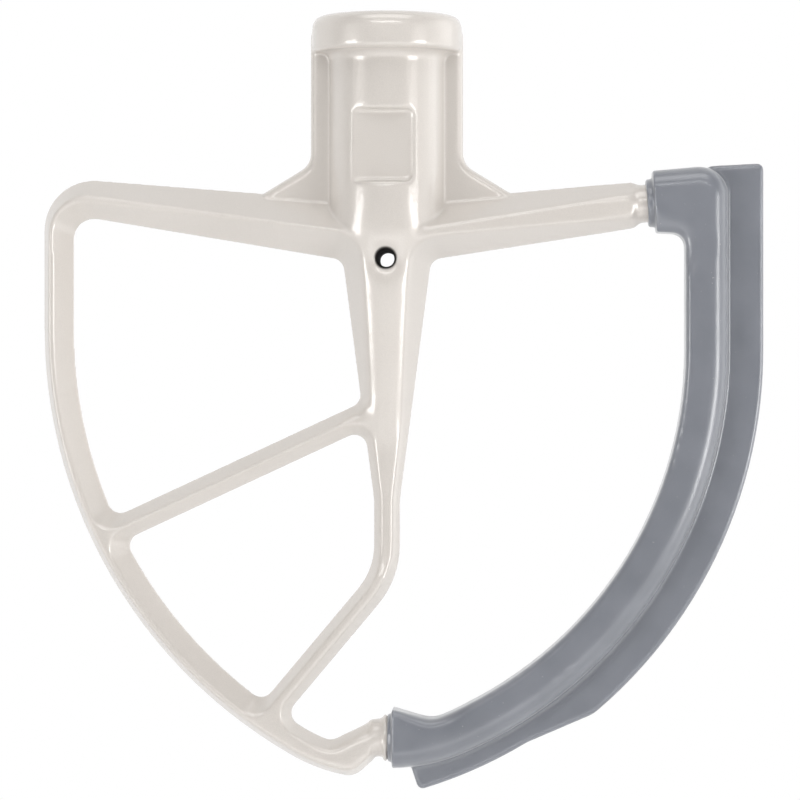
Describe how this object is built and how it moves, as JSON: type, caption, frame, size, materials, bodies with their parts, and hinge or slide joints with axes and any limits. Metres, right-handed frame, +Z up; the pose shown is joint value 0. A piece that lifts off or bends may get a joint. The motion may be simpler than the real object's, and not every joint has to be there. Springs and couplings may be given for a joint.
{
  "type": "flex edge beater",
  "caption": "Open cast beater for a stand mixer with a socket hub, a braced loop on one side and a soft wiping edge on the other.",
  "frame": {"origin": "centre of the shaft bore's mouth on the hub's top face", "axes": "+Z up along the shaft and out of the bore, +X towards the soft edge, -Y the face with the sunk panel"},
  "size_m": [0.1871, 0.039, 0.2009],
  "materials": {
    "enamelled_casting": "glossy pearl enamel on cast aluminium",
    "silicone": "satin moulded silicone"
  },
  "bodies": {
    "root": {"beater_frame": "enamelled_casting", "flex_edge": "silicone"}
  },
  "joints": []
}
